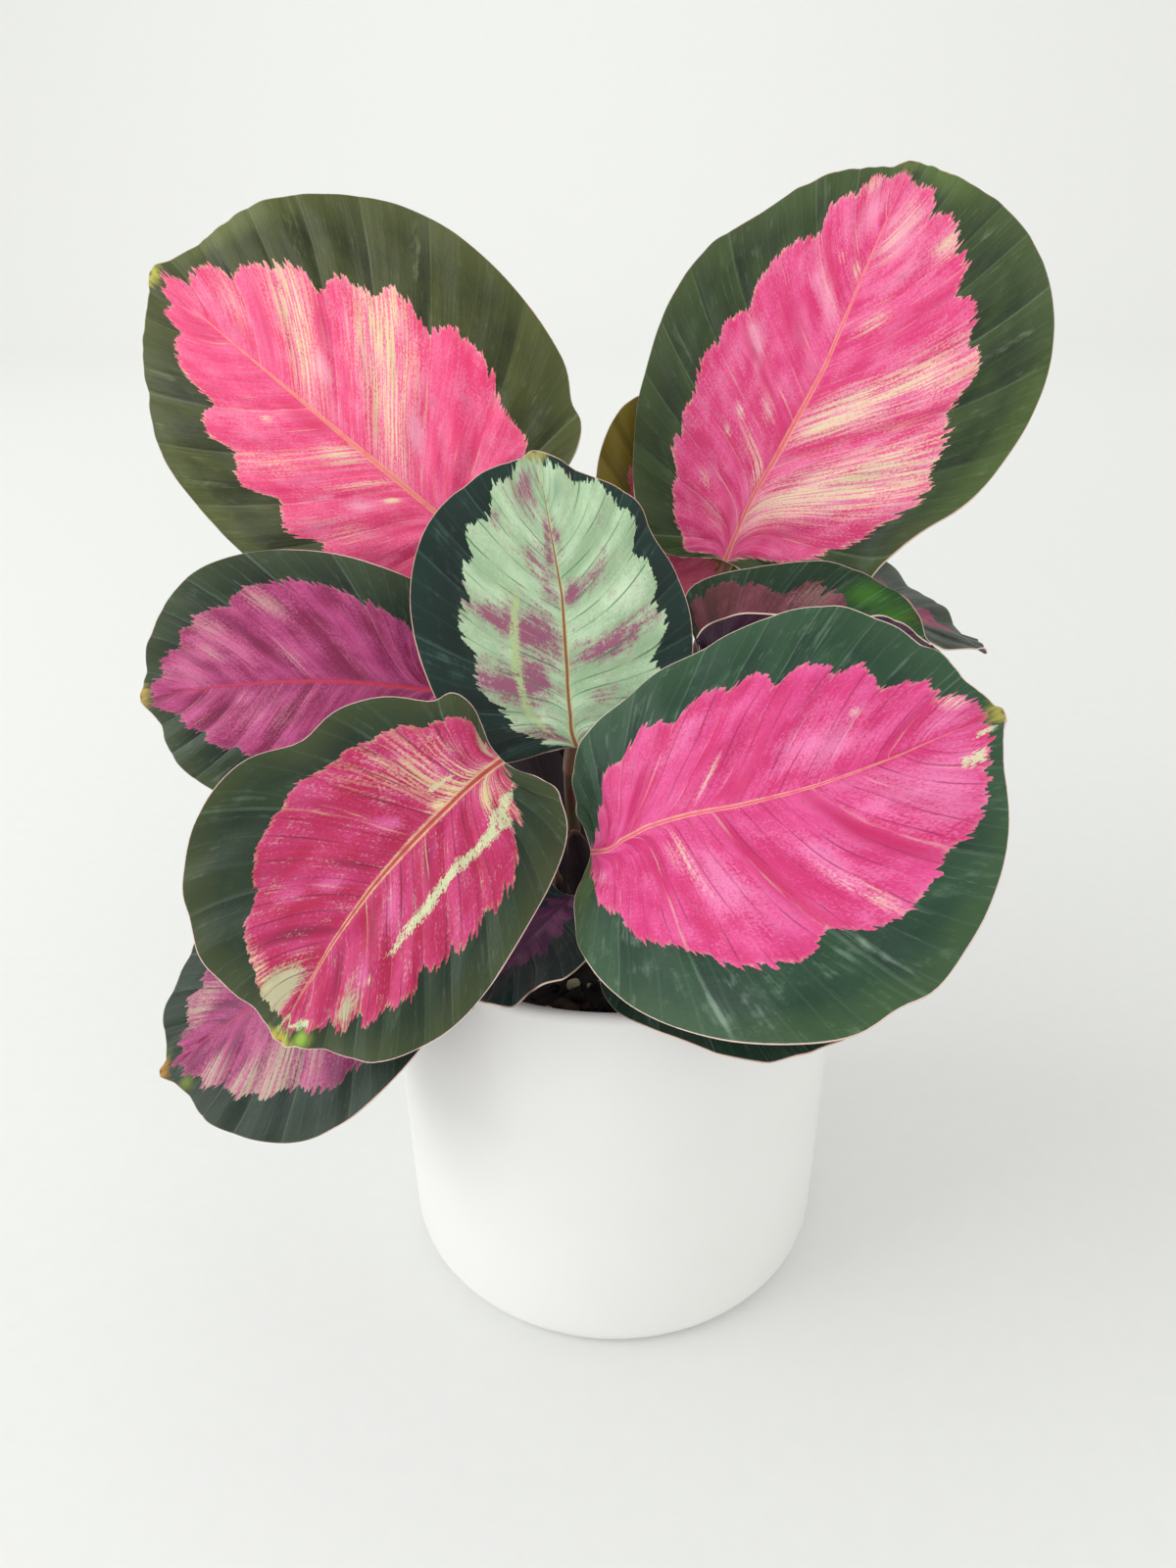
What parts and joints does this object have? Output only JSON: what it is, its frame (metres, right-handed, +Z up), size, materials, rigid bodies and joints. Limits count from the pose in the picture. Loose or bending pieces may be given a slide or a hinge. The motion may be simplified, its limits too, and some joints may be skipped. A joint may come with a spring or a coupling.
{
  "type": "potted calathea",
  "caption": "House plant with broad pink and green waved leaves on slim stalks, in a black nursery pot inside a plain white glazed cachepot.",
  "frame": {"origin": "middle of the flat underside of the cachepot", "axes": "+Z up out of the pot, -Y to the side the plant is seen from, +X to its right"},
  "size_m": [0.3377, 0.2856, 0.3774],
  "materials": {
    "white_glaze": "satin white glaze",
    "black_plastic": "thin black thermoformed plastic",
    "potting_mix": "moist potting mix with perlite and bark",
    "leaf_stalk": "satin reddish-brown and green",
    "leaf_blade": "satin leaf, pink patch above, purple below"
  },
  "bodies": {
    "root": {"cachepot": "white_glaze", "nursery_pot": "black_plastic", "soil": "potting_mix", "stalk_back_left": "leaf_stalk", "stalk_back_right": "leaf_stalk", "stalk_centre": "leaf_stalk", "stalk_left": "leaf_stalk", "stalk_front_left": "leaf_stalk", "stalk_front_right": "leaf_stalk", "stalk_low_left": "leaf_stalk", "stalk_folded_right": "leaf_stalk", "stalk_far_right": "leaf_stalk", "stalk_back_centre": "leaf_stalk", "stalk_low_right": "leaf_stalk", "stalk_low_front": "leaf_stalk", "blade_back_left": "leaf_blade", "blade_back_right": "leaf_blade", "blade_centre": "leaf_blade", "blade_left": "leaf_blade", "blade_front_left": "leaf_blade", "blade_front_right": "leaf_blade", "blade_low_left": "leaf_blade", "blade_folded_right": "leaf_blade", "blade_far_right": "leaf_blade", "blade_back_centre": "leaf_blade", "blade_low_right": "leaf_blade", "blade_low_front": "leaf_blade"}
  },
  "joints": []
}
